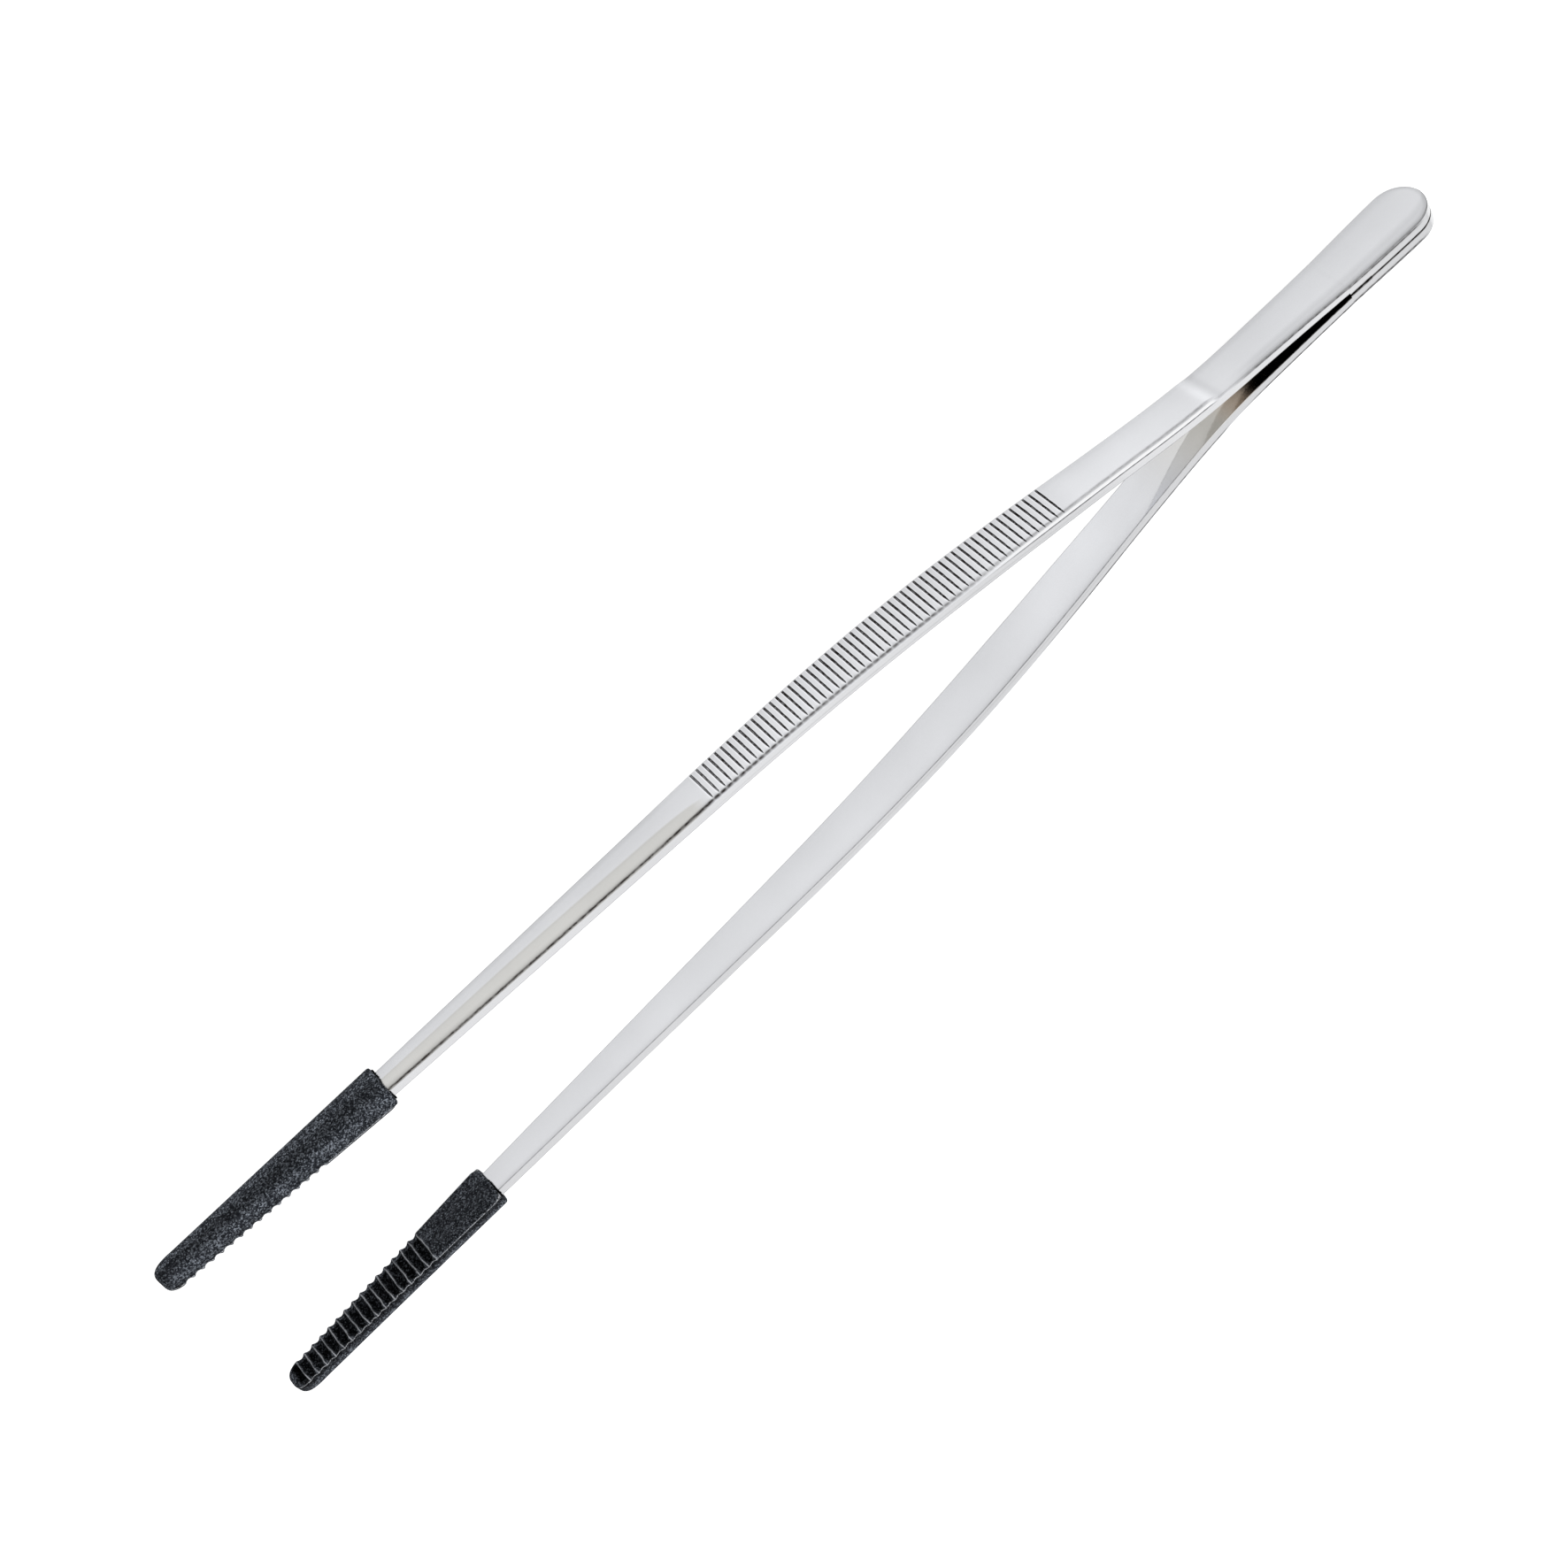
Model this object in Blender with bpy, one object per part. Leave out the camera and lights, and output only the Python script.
"""Long planting tweezers with two leaf arms and a pair of push-on ribbed grip sleeves.

Frame: +X runs from the welded butt to the tips, Z is across the width of the
blades, and the arms open along Y.  Arm A lies on the -Y side and arm B on the
+Y side, mirror images in the plane Y = 0.  The origin is halfway along the tool.

Each arm is one leaf of spring steel.  It is modelled as a root, held in the
welded butt, and a blade that turns about an axis in the thin flexing length,
so that the arm can close.

Sizes are in millimetres.  Stations along the tool (x) start at the butt end.
Offsets and heights in a section are measured outwards from its inner face,
the face towards the plane Y = 0.
"""
import math

import bmesh
import bpy

MM = 0.001
LENGTH = 300.0                     # nominal, butt end to the noses of the sleeves

# ------------------------------------------------------------ arm dimensions
BUTT_RADIUS = 5.95                 # rounded end of both arms
# (station, full width of the blade)
WIDTH_STATIONS = (
    (BUTT_RADIUS, 2 * BUTT_RADIUS), (20.0, 11.2), (34.0, 10.1), (50.0, 9.25),
    (66.0, 9.3), (81.0, 9.5), (98.0, 10.2), (116.0, 10.6),
    (135.0, 10.35), (160.0, 9.5), (190.0, 8.25), (220.0, 6.9),
    (248.0, 5.6), (296.0, 2.8))

PAD_GAP = 0.15                     # half the seam between the two welded pads
PAD_END = 23.6                     # the pads stop square here and the slot begins
SLOT_HALF = 0.54                   # half height of the slot where it begins
SLOT_STEP = 0.02                   # length of the step from pad to slot
OPEN_SLOPE = 0.0365                # divergence of each arm where the slot begins
# (first station, length, change of slope) of each bend
BENDS = (
    (43.0, 30.0, 0.143),           # opens after the flexure
    (85.5, 97.0, -0.1505),         # long curve back along the grip
    (246.5, 4.0, 0.0501))          # toe at the sleeve

BUTT_THICK = 2.30
FLEX_THICK = 1.93                  # where the slot begins
FLEX_GAIN = 0.15                   # added evenly from there to the handle step
EDGE_BREAK = 0.15                  # small chamfer, both ways, up to the handle step
STEP_FROM, STEP_TO = 55.0, 58.2    # ramp up from the flexure to the handle
HANDLE_THICK = 2.48
HANDLE_SIDE = 2.03                 # height of the straight side under the chamfer
CHAMFER = 0.60                     # width of the chamfer from the handle on
CHAMFER_LIMIT = 0.4                # widest chamfer, as a share of the half width
CROWN_FROM, CROWN_TO = 170.0, 190.0    # flat chamfered top turns into a crown
BLADE_THICK, BLADE_SIDE = 2.45, 1.92   # crowned part, from the grip to the sleeves
TAPER_FROM = 248.0
TIP_THICK, TIP_SIDE = 1.15, 0.75
TIP_END = 295.5                    # end of the bare steel, inside the sleeve

GROOVES = 56                       # across the outer face of the handle
GROOVE_FIRST, GROOVE_LAST = 91.3, 172.8
GROOVE_DEPTH = 0.36
GROOVE_HALF = 0.30                 # half width of a groove

HINGE_X = 45.0                     # flexure axis
KNUCKLE_CLEAR = 0.30               # gap between the blade's round nose and the root
CUTTER_DEPTH = 20.0
CUTTER_SEGMENTS = 32

# Stations where the arm has a section, besides those worked out from features
BUTT_ANGLES = (8, 18, 30, 42, 54, 66, 78, 90)    # degrees round the butt end
BUTT_END_ANGLE = 5                               # section used for the flat end
PAD_STATIONS = (10.0, 14.0, 18.0, 21.0)
ROOT_FLEX_STATIONS = (26.0, 29.0, 32.0, 35.0, 38.0, 41.0, 43.0)
KNUCKLE_ANGLES = (18, 36, 54, 72)                # degrees round the blade's nose
BLADE_FLEX_STATIONS = (48.0, 51.0, 53.5)
STEP_DIVISIONS = 4
HANDLE_STATIONS = (61.0, 64.0, 67.0, 70.0, 73.0, 76.5, 80.0, 84.0, 88.0)
BLADE_STATIONS = (
    175.0, 179.0, 183.0, 187.0, 192.0, 200.0, 210.0, 220.0, 230.0,
    240.0, 245.0, 247.0, 248.5, 250.0, 262.0, 274.0, 286.0)

# --------------------------------------------------------- sleeve dimensions
SLEEVE_MOUTH = 249.1               # where the sleeve starts, on its inner face
SLEEVE_TILT = math.radians(2.7)    # from the X axis, away from the middle plane
SLEEVE_LENGTH = 51.05
SLEEVE_INNER = 17.80               # half gap between the two sleeves at the mouth
SLEEVE_THICK = 5.4
SLEEVE_THIN_BY = 0.30              # thickness lost between the mouth and the nose
SLEEVE_HALF_MOUTH, SLEEVE_HALF_TIP = 4.55, 2.80    # half widths
SLEEVE_PART = 0.95                 # height of the parting line, the widest level
FLOOR_INSET = 1.0                  # from the widest level in to the flat inner face
# Point between the flat and the parting line: (at full height, change per mm of rib cut)
CORNER_HEIGHT = (0.28, 0.62)
CORNER_INSET = (0.30, 0.40)
BACK_ANGLES = (22, 42, 60, 76)     # degrees round the outer side of the sleeve
BACK_HEIGHT_POWER, BACK_WIDTH_POWER = 0.85, 0.75   # squareness of that curve
SEAT_HEIGHT = 2.2                  # the sleeve's origin in the plane of its mouth

NOSE, NOSE_POWER = 5.2, 3.0        # length and squareness of the rounded nose
NOSE_FROM = SLEEVE_LENGTH - NOSE
NOSE_CENTRE = 2.1                  # height the nose closes towards
NOSE_FLATTEN = 0.35                # share of the height left at the very end
NOSE_SETBACKS = (2.0, 1.2, 0.6, 0.22, 0.05)        # sections, back from the end
RIM_CENTRE, RIM_SCALE = 2.4, 0.93  # the section shrinks slightly at the mouth
RIM_LENGTH = 0.35
PLAIN_STATIONS = (6.0, 12.0)       # sections between the rim and the ribs

RIB_PITCH = 2.115
RIBS_FROM = 16.255                 # start of the first valley, from the mouth
VALLEYS = 15
RIBS_TO = RIBS_FROM + RIB_PITCH * VALLEYS
RIB_DEPTH = 0.75
RIB_POWER = 2.4                    # squareness of the valleys
VALLEY_SHARES = (0.12, 0.30, 0.5, 0.70, 0.88)      # sections within one pitch

FIT = 0.32                         # clearance between the steel and the sleeve
SOCKET_END = TIP_END + 0.5
SOCKET_STATIONS = (SOCKET_END, 280.0, 266.0, 254.0)
SOCKET_MOUTH_SECTION = 249.5       # station whose section is used at the mouth
SOCKET_WALL = (0.3, 0.6, 0.8, 1.0)               # shares of the side height
SOCKET_ROOF = ((0.75, 0.55), (0.95, 0.25))       # (share of the rise, of the half width)

# (colour, metallic)
STEEL = ((0.80, 0.80, 0.82), 1.0)
RUBBER = ((0.045, 0.047, 0.055), 0.0)


# ------------------------------------------------------------------- helpers
def clamp01(value):
    return max(0.0, min(1.0, value))


def share(x, start, end):
    """How far x is from start to end, held between 0 and 1."""
    return clamp01((x - start) / (end - start))


def smooth(t):
    return t * t * (3.0 - 2.0 * t)


def smooth_area(x, start, length):
    """Integral up to x of a smooth step that rises from 0 to 1 over length."""
    t = (x - start) / length
    if t <= 0.0:
        return 0.0
    if t >= 1.0:
        return length * 0.5 + (x - start - length)
    return length * (t ** 3 - 0.5 * t ** 4)


def mix(a, b, t):
    return a + (b - a) * t


def loft(rings, name, origin=(0.0, 0.0)):
    """Closed mesh through rings of equal count, with its x, y origin moved to origin."""
    bm = bmesh.new()
    grid = [[bm.verts.new(((x - origin[0]) * MM, (y - origin[1]) * MM, z * MM))
             for x, y, z in ring] for ring in rings]
    count = len(grid[0])
    for ring, following in zip(grid, grid[1:]):
        for i in range(count):
            j = (i + 1) % count
            bm.faces.new((ring[i], ring[j], following[j], following[i]))
    caps = [bm.faces.new(tuple(reversed(grid[0]))), bm.faces.new(tuple(grid[-1]))]
    bmesh.ops.poke(bm, faces=caps)
    bmesh.ops.triangulate(bm, faces=bm.faces[:])
    bmesh.ops.recalc_face_normals(bm, faces=bm.faces)
    return finish_mesh(bm, name)


def finish_mesh(bm, name):
    mesh = bpy.data.meshes.new(name)
    bm.to_mesh(mesh)
    bm.free()
    return mesh


def add_object(name, mesh, parent, collection, location=(0.0, 0.0)):
    """Object at an x, y location in its parent; an empty when mesh is None."""
    obj = bpy.data.objects.new(name, mesh)
    obj.location = (location[0] * MM, location[1] * MM, 0.0)
    obj.parent = parent
    collection.objects.link(obj)
    if mesh is None:
        obj.empty_display_size = 0.01
    return obj


def make_material(name, finish, roughness):
    colour, metallic = finish
    mat = bpy.data.materials.new(name)
    mat.use_nodes = True
    shader = mat.node_tree.nodes["Principled BSDF"]
    shader.inputs["Base Color"].default_value = (*colour, 1.0)
    shader.inputs["Roughness"].default_value = roughness
    shader.inputs["Metallic"].default_value = metallic
    mat.diffuse_color = (*colour, 1.0)
    return mat


# --------------------------------------------------------- shape of the arm
def inner(x):
    """Distance of the arm's inner face from the middle plane."""
    if x <= PAD_END:
        return PAD_GAP
    straight = SLOT_HALF + OPEN_SLOPE * (x - PAD_END)
    return straight + sum(slope * smooth_area(x, start, length)
                          for start, length, slope in BENDS)


def width_slope(k):
    """Slope of the width at station k: level at the butt, else from its neighbours."""
    if k == 0:
        return 0.0
    x_before, width_before = WIDTH_STATIONS[k - 1]
    x_after, width_after = WIDTH_STATIONS[min(k + 1, len(WIDTH_STATIONS) - 1)]
    return (width_after - width_before) / (x_after - x_before)


def half_width(x):
    """Half the blade's width: a round end, then a cubic line through the stations."""
    if x < BUTT_RADIUS:
        return math.sqrt(max(0.0, BUTT_RADIUS ** 2 - (BUTT_RADIUS - x) ** 2))
    if x >= WIDTH_STATIONS[-1][0]:
        return WIDTH_STATIONS[-1][1] / 2
    i = max(k for k in range(len(WIDTH_STATIONS) - 1) if WIDTH_STATIONS[k][0] <= x)
    (x0, width0), (x1, width1) = WIDTH_STATIONS[i:i + 2]
    span = x1 - x0
    t = (x - x0) / span
    return 0.5 * ((2 * t ** 3 - 3 * t ** 2 + 1) * width0
                  + (t ** 3 - 2 * t ** 2 + t) * span * width_slope(i)
                  + (3 * t ** 2 - 2 * t ** 3) * width1
                  + (t ** 3 - t ** 2) * span * width_slope(i + 1))


def handle_step(x):
    return smooth(share(x, STEP_FROM, STEP_TO))


def crown(x):
    return smooth(share(x, CROWN_FROM, CROWN_TO))


def along_arm(x, flexure, handle, blade, tip):
    """Blend one size through the parts of the arm."""
    size = mix(flexure, handle, handle_step(x))
    size = mix(size, blade, crown(x))
    return mix(size, tip, share(x, TAPER_FROM, TIP_END))


def flexure_thick(x):
    if x <= PAD_END:
        return BUTT_THICK
    return FLEX_THICK + FLEX_GAIN * share(x, PAD_END, STEP_FROM)


def thick(x):
    """Thickness at the middle of the blade."""
    return along_arm(x, flexure_thick(x), HANDLE_THICK, BLADE_THICK, TIP_THICK)


def side(x):
    """Height of the straight side wall."""
    return along_arm(x, flexure_thick(x) - EDGE_BREAK, HANDLE_SIDE, BLADE_SIDE, TIP_SIDE)


def arm_section(x, cut=0.0):
    """Section of the arm as (offset, z) going round; cut lowers the top between its edges."""
    half = half_width(x)
    chamfer = min(mix(EDGE_BREAK, CHAMFER, handle_step(x)), half * CHAMFER_LIMIT)
    wall = side(x)

    def top(z):
        ramp = clamp01((half - abs(z)) / chamfer)
        arc = 1.0 - (z / half) ** 2
        return wall + (thick(x) - wall) * mix(ramp, arc, crown(x))

    lowered = (half - chamfer, half * 0.5, 0.0, -half * 0.5, -(half - chamfer))
    return ([(0.0, -half), (0.0, half), (top(half), half)]
            + [(top(z) - cut, z) for z in lowered]
            + [(top(-half), -half)])


def arm_ring(sign, x, section_x, cut=0.0):
    """Ring at x with the section and offset that belong to section_x."""
    return [(x, sign * (inner(section_x) + offset), z)
            for offset, z in arm_section(section_x, cut)]


def hinge_y():
    """Distance of the flexure axis from the middle plane."""
    return inner(HINGE_X) + thick(HINGE_X) / 2


# ------------------------------------------------------------ arm components
def butt_station(angle):
    return BUTT_RADIUS * (1.0 - math.cos(math.radians(angle)))


def root_mesh(sign, name):
    """The length of the arm that stays in the butt, up to the flexure axis."""
    stations = [butt_station(angle) for angle in BUTT_ANGLES]
    stations += [*PAD_STATIONS, PAD_END, PAD_END + SLOT_STEP, *ROOT_FLEX_STATIONS, HINGE_X]
    rings = [arm_ring(sign, 0.0, butt_station(BUTT_END_ANGLE))]
    rings += [arm_ring(sign, x, x) for x in stations]
    return loft(rings, name)


def knuckle_rings(sign):
    """Rings of the blade's round nose, short of the flexure axis."""
    radius = thick(HINGE_X) / 2
    rings = []
    for degrees in KNUCKLE_ANGLES:
        angle = math.radians(degrees)
        x = HINGE_X - radius * math.cos(angle)
        rings.append([(x, sign * (hinge_y() + (offset - radius) * math.sin(angle)), z)
                      for offset, z in arm_section(HINGE_X)])
    return rings


def blade_mesh(sign, name, origin):
    """The moving length of the arm, from its round nose to the tip."""
    plain = [HINGE_X, *BLADE_FLEX_STATIONS]
    plain += [STEP_FROM + (STEP_TO - STEP_FROM) * k / STEP_DIVISIONS
              for k in range(STEP_DIVISIONS + 1)]
    plain += HANDLE_STATIONS
    stations = [(x, 0.0) for x in plain]
    spacing = (GROOVE_LAST - GROOVE_FIRST) / (GROOVES - 1)
    for i in range(GROOVES):
        x = GROOVE_FIRST + spacing * i
        stations += [(x - GROOVE_HALF, 0.0), (x, GROOVE_DEPTH), (x + GROOVE_HALF, 0.0)]
    stations += [(x, 0.0) for x in (*BLADE_STATIONS, TIP_END)]
    rings = knuckle_rings(sign) + [arm_ring(sign, x, x, cut) for x, cut in stations]
    return loft(rings, name, origin)


def add_flexure_cutter(letter, axis, parent, collection):
    """Cylinder on the flexure axis that hollows the end of the root."""
    bm = bmesh.new()
    radius = (thick(HINGE_X) / 2 + KNUCKLE_CLEAR) * MM
    bmesh.ops.create_cone(bm, cap_ends=True, segments=CUTTER_SEGMENTS,
                          radius1=radius, radius2=radius, depth=CUTTER_DEPTH * MM)
    mesh = finish_mesh(bm, "flexure_cutter")
    cutter = add_object("flexure_cutter_" + letter, mesh, parent, collection, axis)
    cutter.hide_render = True
    cutter.display_type = 'WIRE'
    return cutter


# --------------------------------------------------------------- the sleeves
# u is the distance from the mouth along the tilted sleeve.
def rib_cut(u):
    """Depth of the valleys between the ribs, cut into the inner face."""
    if u <= RIBS_FROM or u >= RIBS_TO:
        return 0.0
    phase = ((u - RIBS_FROM) / RIB_PITCH) % 1.0
    across = abs(2.0 * phase - 1.0)            # 1 on a rib, 0 in a valley
    return RIB_DEPTH * (1.0 - across ** RIB_POWER)


def nose_scale(u):
    """1 along the body, falling towards 0 at the end of the nose."""
    return (1.0 - share(u, NOSE_FROM, SLEEVE_LENGTH) ** NOSE_POWER) ** (1.0 / NOSE_POWER)


def closed_section(low, floor_half, flank, high):
    """Section symmetric in z: flat floor, +z flank going up, top point, -z flank down."""
    return ([(low, -floor_half), (low, 0.0), (low, floor_half)]
            + flank + [(high, 0.0)]
            + [(height, -z) for height, z in reversed(flank)])


def skin_section(u):
    """Outer section of the sleeve as (height, z)."""
    scale = nose_scale(u)
    cut = rib_cut(u)
    along = share(u, 0.0, NOSE_FROM)
    half = mix(SLEEVE_HALF_MOUTH, SLEEVE_HALF_TIP, along) * scale
    top = SLEEVE_THICK - SLEEVE_THIN_BY * along
    corner_inset = CORNER_INSET[0] + CORNER_INSET[1] * cut
    flank = [(CORNER_HEIGHT[0] + CORNER_HEIGHT[1] * cut, half - corner_inset * scale),
             (SLEEVE_PART, half)]
    for degrees in BACK_ANGLES:
        angle = math.radians(degrees)
        flank.append((mix(SLEEVE_PART, top, math.sin(angle) ** BACK_HEIGHT_POWER),
                      half * math.cos(angle) ** BACK_WIDTH_POWER))
    section = closed_section(cut, half - FLOOR_INSET * scale, flank, top)
    flatten = mix(NOSE_FLATTEN, 1.0, scale)
    return [(mix(NOSE_CENTRE, height, flatten), z) for height, z in section]


def sleeve_point(u, height):
    """Sleeve coordinates to tool coordinates (x, distance from the middle plane)."""
    cosine, sine = math.cos(SLEEVE_TILT), math.sin(SLEEVE_TILT)
    return (SLEEVE_MOUTH + u * cosine - height * sine,
            SLEEVE_INNER + u * sine + height * cosine)


def skin_rings():
    """Rings of the outer skin, from the rim at the mouth to the nose."""
    stations = [0.0, RIM_LENGTH, *PLAIN_STATIONS, RIBS_FROM]
    for i in range(VALLEYS):
        start = RIBS_FROM + RIB_PITCH * i
        stations += [start + RIB_PITCH * part for part in VALLEY_SHARES]
        if i < VALLEYS - 1:
            stations.append(start + RIB_PITCH)
    stations += [SLEEVE_LENGTH - setback for setback in NOSE_SETBACKS]
    rings = []
    for u in stations:
        section = skin_section(u)
        if u == 0.0:
            section = [(mix(RIM_CENTRE, height, RIM_SCALE), z * RIM_SCALE)
                       for height, z in section]
        rings.append([(*sleeve_point(u, height), z) for height, z in section])
    return rings


def socket_section(x):
    """Section of the socket round the steel, as (distance from the middle plane, z)."""
    half = half_width(x) + FIT
    low = inner(x) - FIT
    knee = inner(x) + side(x) + FIT
    high = inner(x) + thick(x) + FIT
    flank = [(mix(low, knee, part), half) for part in SOCKET_WALL]
    flank += [(mix(knee, high, rise), half * across) for rise, across in SOCKET_ROOF]
    return closed_section(low, half, flank, high)


def socket_rings():
    """Rings of the socket, from its closed end to the tilted plane of the mouth."""
    rings = [[(x, y, z) for y, z in socket_section(x)] for x in SOCKET_STATIONS]
    rings.append([(SLEEVE_MOUTH - (y - SLEEVE_INNER) * math.tan(SLEEVE_TILT), y, z)
                  for y, z in socket_section(SOCKET_MOUTH_SECTION)])
    return rings


def sleeve_mesh(sign, name, origin):
    """A hollow cover: a socket that follows the tip of the arm, a rim and a skin."""
    rings = [[(x, sign * y, z) for x, y, z in ring] for ring in socket_rings() + skin_rings()]
    return loft(rings, name, origin)


# --------------------------------------------------------------------- build
def add_root(letter, sign, axis, base, tool, cutters):
    name = "arm_%s_root" % letter
    root = add_object(name, root_mesh(sign, name), base, tool)
    root.data.materials.append(make_material("steel_root_" + letter, STEEL, roughness=0.28))
    hollow = root.modifiers.new("flexure", 'BOOLEAN')
    hollow.operation = 'DIFFERENCE'
    hollow.solver = 'EXACT'
    hollow.object = add_flexure_cutter(letter, axis, base, cutters)


def add_blade(letter, sign, axis, pivot, tool):
    name = "arm_%s_blade" % letter
    blade = add_object(name, blade_mesh(sign, name, axis), pivot, tool)
    blade.data.materials.append(make_material("steel_blade_" + letter, STEEL, roughness=0.26))


def add_sleeve(letter, sign, axis, pivot, tool):
    x, y = sleeve_point(0.0, SEAT_HEIGHT)
    origin = (x, sign * y)
    seat = add_object("sleeve_seat_" + letter, None, pivot, tool,
                      (origin[0] - axis[0], origin[1] - axis[1]))
    name = "sleeve_" + letter
    sleeve = add_object(name, sleeve_mesh(sign, name, origin), seat, tool)
    sleeve.data.materials.append(
        make_material("rubber_sleeve_" + letter, RUBBER, roughness=0.78))
    sleeve.data.shade_smooth()
    sleeve.data.set_sharp_from_angle(angle=math.radians(32))


def add_collection(name):
    collection = bpy.data.collections.new(name)
    bpy.context.scene.collection.children.link(collection)
    return collection


def build():
    for obj in list(bpy.data.objects):
        bpy.data.objects.remove(obj, do_unlink=True)
    tool = add_collection("tweezers")
    cutters = add_collection("cutters")
    base = add_object("tool_origin", None, None, tool, (-LENGTH / 2, 0.0))
    for letter, sign in (("a", -1.0), ("b", 1.0)):
        axis = (HINGE_X, sign * hinge_y())
        add_root(letter, sign, axis, base, tool, cutters)
        pivot = add_object("flexure_axis_" + letter, None, base, tool, axis)
        add_blade(letter, sign, axis, pivot, tool)
        add_sleeve(letter, sign, axis, pivot, tool)


build()
